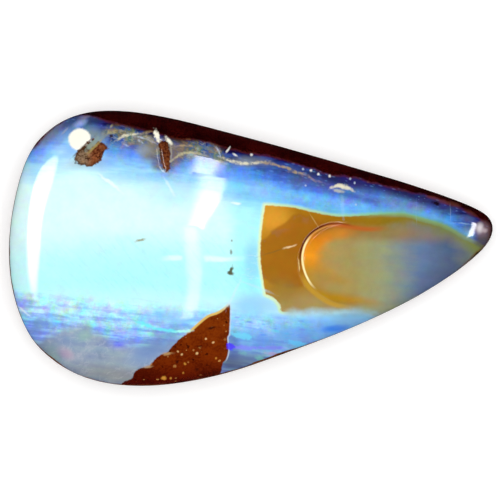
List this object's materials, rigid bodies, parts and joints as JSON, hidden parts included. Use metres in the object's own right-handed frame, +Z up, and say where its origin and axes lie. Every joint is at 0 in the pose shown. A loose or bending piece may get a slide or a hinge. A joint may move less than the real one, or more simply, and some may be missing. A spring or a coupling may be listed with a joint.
{
  "type": "polished boulder opal drop",
  "caption": "Loose pear-shaped boulder opal: one stone of opal and ironstone with a polished dome, a rounded girdle and a flat back to rest on.",
  "frame": {"origin": "under the middle of the outline's box, on the flat back that the stone rests on", "axes": "+X from the round end to the tip, +Z up through the polished face"},
  "size_m": [0.03, 0.017, 0.0051],
  "materials": {
    "polished_opal": "polished"
  },
  "bodies": {
    "root": {"boulder_opal": "polished_opal"}
  },
  "joints": []
}
